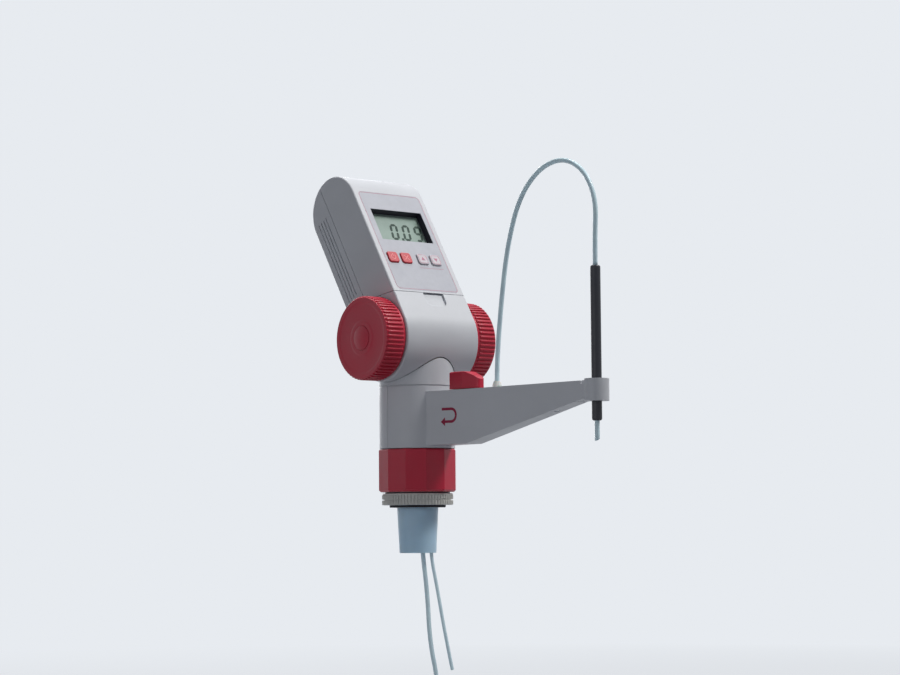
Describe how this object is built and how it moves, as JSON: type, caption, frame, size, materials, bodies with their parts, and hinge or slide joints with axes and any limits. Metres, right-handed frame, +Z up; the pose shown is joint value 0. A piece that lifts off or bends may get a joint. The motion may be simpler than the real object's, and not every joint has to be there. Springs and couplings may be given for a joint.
{
  "type": "bottle top dispenser",
  "caption": "Bottle-top burette dispenser with tilted display head, ribbed handwheels, side arm with valve lever, arched dispensing tube, coupling nut and ground-joint adapter.",
  "frame": {"origin": "on the bottle's axis at the seat, where the seal disc rests on the bottle's mouth", "axes": "+Z up along the bottle's axis; -Y towards the user, along the dispensing arm and the display's side; +X along the handwheel shaft"},
  "size_m": [0.1026, 0.2717, 0.3978],
  "materials": {
    "housing": "fine satin moulding, light grey",
    "red_plastic": "satin crimson moulding",
    "black_plastic": "satin black",
    "black_rubber": "matt elastomer",
    "pale_polymer": "off-white fluted moulding",
    "white_polymer": "machined fluoropolymer",
    "beige_polymer": "natural polymer",
    "clear_polymer": "translucent polypropylene",
    "clear_tube": "translucent fluoropolymer tube",
    "glass_tube": "polished borosilicate",
    "steel": "ground",
    "grey_metal": "milled",
    "bronze": "sintered bronze",
    "foil": "printed membrane",
    "display": "reflective liquid crystal",
    "board": "solder resist",
    "cell": "printed sleeve",
    "red_key": "elastomer key",
    "white_key": "elastomer key"
  },
  "bodies": {
    "dispenser": {"joint_spigot": "clear_polymer", "seal_disc": "black_rubber", "neck_ring": "black_rubber", "valve_block": "white_polymer", "casing_rear": "housing", "arm_casing": "housing", "arm_floor_plate": "housing", "column_upper": "housing", "rear_housing": "housing", "head_front_shell": "housing", "head_rear_shell": "housing", "valve_body": "white_polymer", "tube_nut": "beige_polymer", "dispensing_tube": "clear_tube", "suction_tube": "clear_tube", "return_tube": "clear_tube", "chassis": "grey_metal", "bearing_left": "bronze", "bearing_right": "bronze", "encoder_sensor": "black_plastic", "cylinder_left": "glass_tube", "cylinder_right": "glass_tube", "piston_left": "white_polymer", "piston_right": "white_polymer", "panel_foil": "foil", "display_bezel": "black_plastic", "lcd_module": "display", "circuit_board": "board", "battery_tray": "black_plastic", "battery_1": "cell", "battery_2": "cell"},
    "drive": {"drive_shaft": "steel", "handwheel_left": "red_plastic", "handwheel_right": "red_plastic", "hub_cap_left": "red_plastic", "hub_cap_right": "red_plastic", "cam_left": "white_polymer", "cam_right": "white_polymer", "encoder_disc": "black_plastic"},
    "lever": {"valve_lever": "red_plastic", "valve_spindle": "white_polymer"},
    "spout": {"spout_sleeve": "black_plastic", "spout_tube": "clear_tube"},
    "cover": {"front_cover": "housing"},
    "door": {"battery_door": "housing"},
    "nut": {"coupling_nut": "red_plastic"},
    "adapter_ring": {"knurled_ring": "pale_polymer"},
    "power_button": {"key_power": "red_key"},
    "clear_button": {"key_clear": "red_key"},
    "up_button": {"key_up": "white_key"},
    "down_button": {"key_down": "white_key"}
  },
  "joints": [
    {"name": "drive_turn", "type": "hinge", "parent": "dispenser", "child": "drive", "pos_m": [0, 0, 0.118], "axis": [1, 0, 0], "continuous": true},
    {"name": "valve_turn", "type": "hinge", "parent": "dispenser", "child": "lever", "pos_m": [0, -0.0485, 0.0808], "axis": [0, 0, 1], "range_deg": [-90, 0]},
    {"name": "spout_slide", "type": "slide", "parent": "dispenser", "child": "spout", "axis": [0, 0, 1], "range_m": [-0.02, 0.01], "deforming": ["dispensing_tube"]},
    {"name": "cover_slide", "type": "slide", "parent": "dispenser", "child": "cover", "axis": [0, -1, 0], "range_m": [0, 0.015]},
    {"name": "door_slide", "type": "slide", "parent": "dispenser", "child": "door", "axis": [0, 0.8526, -0.5225], "range_m": [0, 0.01]},
    {"name": "nut_turn", "type": "hinge", "parent": "dispenser", "child": "nut", "pos_m": [0, 0, 0.026], "axis": [0, 0, 1], "continuous": true},
    {"name": "ring_turn", "type": "hinge", "parent": "dispenser", "child": "adapter_ring", "pos_m": [0, 0, 0.005], "axis": [0, 0, 1], "continuous": true},
    {"name": "power_press", "type": "slide", "parent": "dispenser", "child": "power_button", "axis": [0, -0.8526, 0.5225], "range_m": [-0.0005, 0], "stiffness_N_per_m": 2000},
    {"name": "clear_press", "type": "slide", "parent": "dispenser", "child": "clear_button", "axis": [0, -0.8526, 0.5225], "range_m": [-0.0005, 0], "stiffness_N_per_m": 2000},
    {"name": "up_press", "type": "slide", "parent": "dispenser", "child": "up_button", "axis": [0, -0.8526, 0.5225], "range_m": [-0.0005, 0], "stiffness_N_per_m": 2000},
    {"name": "down_press", "type": "slide", "parent": "dispenser", "child": "down_button", "axis": [0, -0.8526, 0.5225], "range_m": [-0.0005, 0], "stiffness_N_per_m": 2000}
  ]
}
